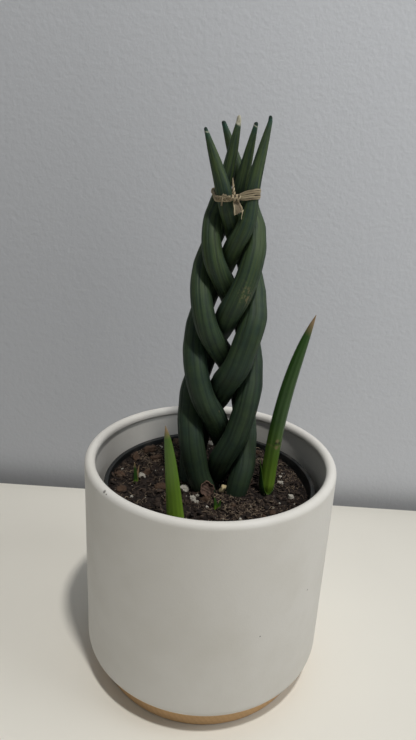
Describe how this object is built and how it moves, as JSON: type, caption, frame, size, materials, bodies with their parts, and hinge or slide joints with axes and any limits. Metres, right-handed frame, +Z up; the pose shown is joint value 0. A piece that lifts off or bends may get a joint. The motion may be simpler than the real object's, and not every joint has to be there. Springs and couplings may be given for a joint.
{
  "type": "cylindrical snake plant",
  "caption": "Potted cylindrical snake plant: round leaves plaited flat and tied near their tips, with young shoots, in a white ceramic pot on a round wooden base.",
  "frame": {"origin": "centre of the wooden base's underside, which stands on the surface", "axes": "+Z up; the plait's broad side faces -Y and +Y; +X runs to the right seen from -Y, towards the tall shoot"},
  "size_m": [0.156, 0.156, 0.3429],
  "materials": {
    "wood": "matte, light oak or bamboo",
    "pot_ceramic": "matte white",
    "nursery_plastic": "matte black",
    "soil": "crumbly, dark brown potting mix",
    "leaf": "satin, dark bluish green with long grooves",
    "raffia": "dry fibrous tan",
    "young_leaf": "satin, light green",
    "husk": "dry brown scale"
  },
  "bodies": {
    "root": {"wood_base": "wood", "pot": "pot_ceramic", "nursery_pot": "nursery_plastic", "soil": "soil", "leaf_1": "leaf", "leaf_2": "leaf", "leaf_3": "leaf", "leaf_4": "leaf", "leaf_5": "leaf", "tie": "raffia", "shoot_right": "young_leaf", "shoot_left": "young_leaf", "sprout_left": "young_leaf", "sprout_front": "young_leaf", "husk": "husk"}
  },
  "joints": []
}
